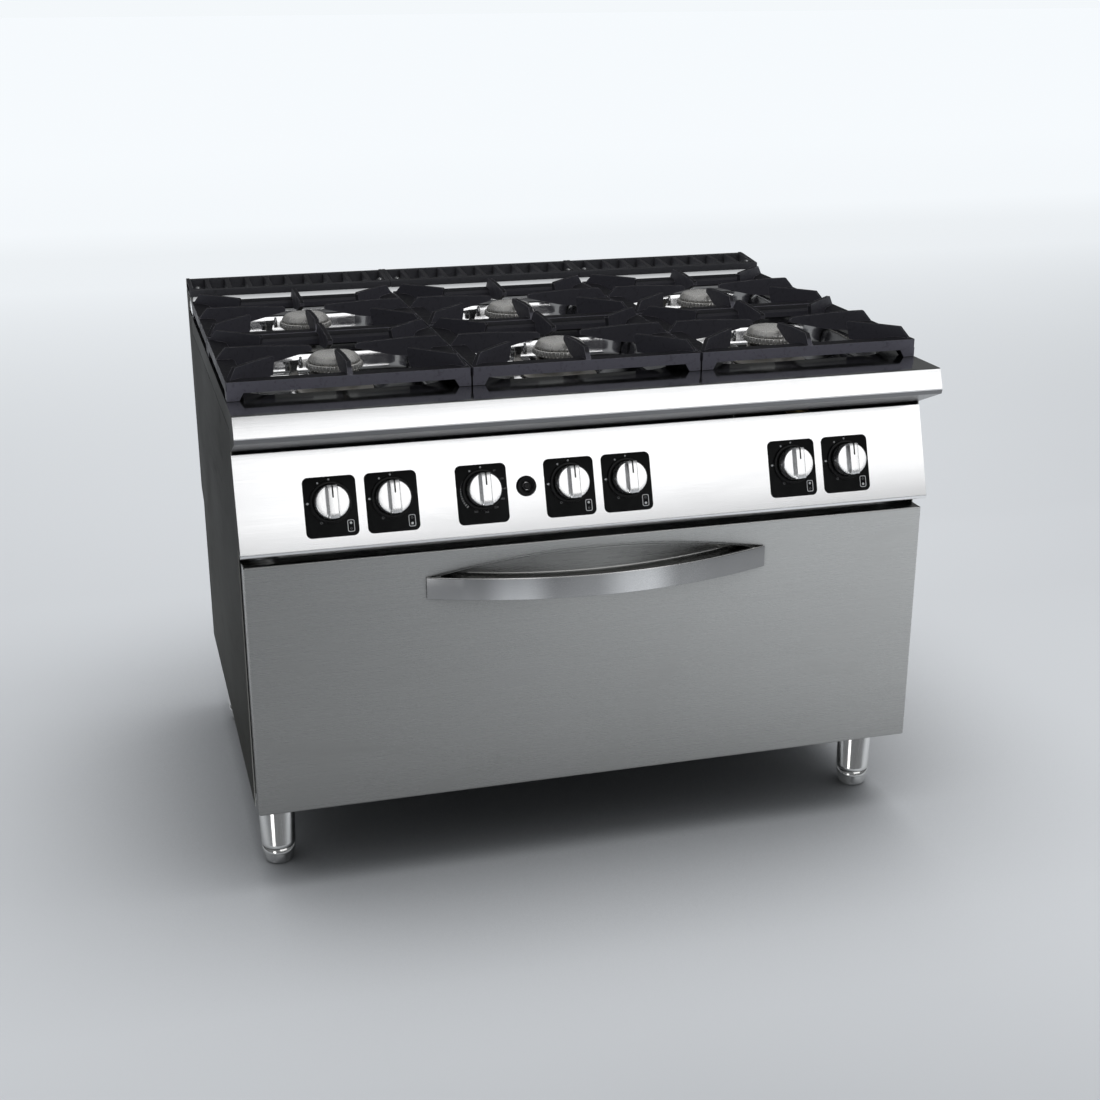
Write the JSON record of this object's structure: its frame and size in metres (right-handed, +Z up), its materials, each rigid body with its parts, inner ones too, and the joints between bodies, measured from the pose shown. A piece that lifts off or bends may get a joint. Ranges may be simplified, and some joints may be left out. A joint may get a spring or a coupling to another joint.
{
  "type": "commercial gas range",
  "caption": "Free-standing commercial gas range: open burners with lift-off cast grates over a wide oven with a drop-down door, push-turn gas knobs and levelling feet.",
  "frame": {"origin": "on the floor, under the middle of the object's box", "axes": "+X to the right as seen from the front, +Y towards the back, +Z up; the front faces -Y"},
  "size_m": [1.2, 0.957, 0.908],
  "materials": {
    "side_sheet": "dark fine-ground stainless sheet",
    "brushed_steel": "brushed stainless, grain across the width",
    "polished_steel": "bright polished stainless",
    "satin_steel": "fine satin stainless",
    "galvanised": "dull zinc-coated sheet",
    "cast_iron": "matt black enamelled casting",
    "nickel": "nickel-plated casting, satin",
    "brass": "machined brass",
    "knob_silver": "silver painted plastic",
    "black_plastic": "black moulded plastic",
    "wire": "bright chromed wire",
    "gasket_rubber": "dark grey silicone"
  },
  "bodies": {
    "chassis": {"side_panel_left": "side_sheet", "side_panel_right": "side_sheet", "rear_panel": "galvanised", "base_frame": "satin_steel", "front_frame": "satin_steel", "control_panel": "satin_steel", "hob_top": "polished_steel", "flue_riser": "polished_steel", "flue_grille_left": "cast_iron", "flue_grille_centre": "cast_iron", "flue_grille_right": "cast_iron", "oven_liner": "satin_steel", "oven_floor_plate": "galvanised", "rack_guide_frame": "wire", "oven_burner": "galvanised", "gas_manifold": "brass", "door_gasket": "gasket_rubber", "hinge_pin_left": "satin_steel", "hinge_pin_right": "satin_steel", "burner_body_1": "nickel", "burner_body_2": "nickel", "burner_body_3": "nickel", "burner_body_4": "nickel", "burner_body_5": "nickel", "burner_body_6": "nickel"},
    "door": {"door_skin": "brushed_steel", "door_inner_pan": "satin_steel", "door_handle": "brushed_steel"},
    "rack": {"oven_rack": "wire"},
    "igniter": {"igniter_button": "black_plastic"},
    "grate_lift_1": {"grate_1": "cast_iron"},
    "cap_1": {"burner_cap_1": "nickel"},
    "grate_lift_2": {"grate_2": "cast_iron"},
    "cap_2": {"burner_cap_2": "nickel"},
    "grate_lift_3": {"grate_3": "cast_iron"},
    "cap_3": {"burner_cap_3": "nickel"},
    "grate_lift_4": {"grate_4": "cast_iron"},
    "cap_4": {"burner_cap_4": "nickel"},
    "grate_lift_5": {"grate_5": "cast_iron"},
    "cap_5": {"burner_cap_5": "nickel"},
    "grate_lift_6": {"grate_6": "cast_iron"},
    "cap_6": {"burner_cap_6": "nickel"},
    "stem_1": {"valve_stem_1": "brass"},
    "knob_body_1": {"knob_1": "knob_silver"},
    "stem_2": {"valve_stem_2": "brass"},
    "knob_body_2": {"knob_2": "knob_silver"},
    "stem_3": {"valve_stem_3": "brass"},
    "knob_body_3": {"knob_3": "knob_silver"},
    "stem_4": {"valve_stem_4": "brass"},
    "knob_body_4": {"knob_4": "knob_silver"},
    "stem_5": {"valve_stem_5": "brass"},
    "knob_body_5": {"knob_5": "knob_silver"},
    "stem_6": {"valve_stem_6": "brass"},
    "knob_body_6": {"knob_6": "knob_silver"},
    "stem_7": {"valve_stem_7": "brass"},
    "knob_body_7": {"knob_7": "knob_silver"},
    "levelling_foot_1": {"foot_1": "satin_steel"},
    "levelling_foot_2": {"foot_2": "satin_steel"},
    "levelling_foot_3": {"foot_3": "satin_steel"},
    "levelling_foot_4": {"foot_4": "satin_steel"}
  },
  "joints": [
    {"name": "door_hinge", "type": "hinge", "parent": "chassis", "child": "door", "pos_m": [0, -0.3845, 0.162], "axis": [1, 0, 0], "range_deg": [0, 88]},
    {"name": "rack_slide", "type": "slide", "parent": "chassis", "child": "rack", "axis": [0, -1, 0], "range_m": [0, 0.31]},
    {"name": "grate_lift_1", "type": "slide", "parent": "chassis", "child": "grate_lift_1", "axis": [0, 0, 1], "range_m": [0, 0.12]},
    {"name": "cap_lift_1", "type": "slide", "parent": "chassis", "child": "cap_1", "axis": [0, 0, 1], "range_m": [0, 0.06]},
    {"name": "grate_lift_2", "type": "slide", "parent": "chassis", "child": "grate_lift_2", "axis": [0, 0, 1], "range_m": [0, 0.12]},
    {"name": "cap_lift_2", "type": "slide", "parent": "chassis", "child": "cap_2", "axis": [0, 0, 1], "range_m": [0, 0.06]},
    {"name": "grate_lift_3", "type": "slide", "parent": "chassis", "child": "grate_lift_3", "axis": [0, 0, 1], "range_m": [0, 0.12]},
    {"name": "cap_lift_3", "type": "slide", "parent": "chassis", "child": "cap_3", "axis": [0, 0, 1], "range_m": [0, 0.06]},
    {"name": "grate_lift_4", "type": "slide", "parent": "chassis", "child": "grate_lift_4", "axis": [0, 0, 1], "range_m": [0, 0.12]},
    {"name": "cap_lift_4", "type": "slide", "parent": "chassis", "child": "cap_4", "axis": [0, 0, 1], "range_m": [0, 0.06]},
    {"name": "grate_lift_5", "type": "slide", "parent": "chassis", "child": "grate_lift_5", "axis": [0, 0, 1], "range_m": [0, 0.12]},
    {"name": "cap_lift_5", "type": "slide", "parent": "chassis", "child": "cap_5", "axis": [0, 0, 1], "range_m": [0, 0.06]},
    {"name": "grate_lift_6", "type": "slide", "parent": "chassis", "child": "grate_lift_6", "axis": [0, 0, 1], "range_m": [0, 0.12]},
    {"name": "cap_lift_6", "type": "slide", "parent": "chassis", "child": "cap_6", "axis": [0, 0, 1], "range_m": [0, 0.06]},
    {"name": "igniter_push", "type": "slide", "parent": "chassis", "child": "igniter", "axis": [0, 0.9474, -0.32], "range_m": [0, 0.005], "stiffness_N_per_m": 600},
    {"name": "knob_push_1", "type": "slide", "parent": "chassis", "child": "stem_1", "axis": [0, 0.9474, -0.32], "range_m": [0, 0.005], "stiffness_N_per_m": 800},
    {"name": "knob_turn_1", "type": "hinge", "parent": "stem_1", "child": "knob_body_1", "pos_m": [-0.45, -0.40137, 0.68898], "axis": [0, -0.9474, 0.32], "range_deg": [0, 152]},
    {"name": "knob_push_2", "type": "slide", "parent": "chassis", "child": "stem_2", "axis": [0, 0.9474, -0.32], "range_m": [0, 0.005], "stiffness_N_per_m": 800},
    {"name": "knob_turn_2", "type": "hinge", "parent": "stem_2", "child": "knob_body_2", "pos_m": [-0.35, -0.40137, 0.68898], "axis": [0, -0.9474, 0.32], "range_deg": [0, 152]},
    {"name": "knob_push_3", "type": "slide", "parent": "chassis", "child": "stem_3", "axis": [0, 0.9474, -0.32], "range_m": [0, 0.005], "stiffness_N_per_m": 800},
    {"name": "knob_turn_3", "type": "hinge", "parent": "stem_3", "child": "knob_body_3", "pos_m": [-0.2, -0.40137, 0.68898], "axis": [0, -0.9474, 0.32], "range_deg": [0, 300]},
    {"name": "knob_push_4", "type": "slide", "parent": "chassis", "child": "stem_4", "axis": [0, 0.9474, -0.32], "range_m": [0, 0.005], "stiffness_N_per_m": 800},
    {"name": "knob_turn_4", "type": "hinge", "parent": "stem_4", "child": "knob_body_4", "pos_m": [-0.05, -0.40137, 0.68898], "axis": [0, -0.9474, 0.32], "range_deg": [0, 152]},
    {"name": "knob_push_5", "type": "slide", "parent": "chassis", "child": "stem_5", "axis": [0, 0.9474, -0.32], "range_m": [0, 0.005], "stiffness_N_per_m": 800},
    {"name": "knob_turn_5", "type": "hinge", "parent": "stem_5", "child": "knob_body_5", "pos_m": [0.05, -0.40137, 0.68898], "axis": [0, -0.9474, 0.32], "range_deg": [0, 152]},
    {"name": "knob_push_6", "type": "slide", "parent": "chassis", "child": "stem_6", "axis": [0, 0.9474, -0.32], "range_m": [0, 0.005], "stiffness_N_per_m": 800},
    {"name": "knob_turn_6", "type": "hinge", "parent": "stem_6", "child": "knob_body_6", "pos_m": [0.35, -0.40137, 0.68898], "axis": [0, -0.9474, 0.32], "range_deg": [0, 152]},
    {"name": "knob_push_7", "type": "slide", "parent": "chassis", "child": "stem_7", "axis": [0, 0.9474, -0.32], "range_m": [0, 0.005], "stiffness_N_per_m": 800},
    {"name": "knob_turn_7", "type": "hinge", "parent": "stem_7", "child": "knob_body_7", "pos_m": [0.45, -0.40137, 0.68898], "axis": [0, -0.9474, 0.32], "range_deg": [0, 152]},
    {"name": "levelling_foot_1", "type": "slide", "parent": "chassis", "child": "levelling_foot_1", "axis": [0, 0, -1], "range_m": [0, 0.04]},
    {"name": "levelling_foot_2", "type": "slide", "parent": "chassis", "child": "levelling_foot_2", "axis": [0, 0, -1], "range_m": [0, 0.04]},
    {"name": "levelling_foot_3", "type": "slide", "parent": "chassis", "child": "levelling_foot_3", "axis": [0, 0, -1], "range_m": [0, 0.04]},
    {"name": "levelling_foot_4", "type": "slide", "parent": "chassis", "child": "levelling_foot_4", "axis": [0, 0, -1], "range_m": [0, 0.04]}
  ],
  "couplings": [
    {"joint": "rack_slide", "follows": "door_hinge", "m_per_rad": 0.2},
    {"joint": "cap_lift_1", "follows": "grate_lift_1", "ratio": 0.5},
    {"joint": "cap_lift_2", "follows": "grate_lift_2", "ratio": 0.5},
    {"joint": "cap_lift_3", "follows": "grate_lift_3", "ratio": 0.5},
    {"joint": "cap_lift_4", "follows": "grate_lift_4", "ratio": 0.5},
    {"joint": "cap_lift_5", "follows": "grate_lift_5", "ratio": 0.5},
    {"joint": "cap_lift_6", "follows": "grate_lift_6", "ratio": 0.5}
  ]
}
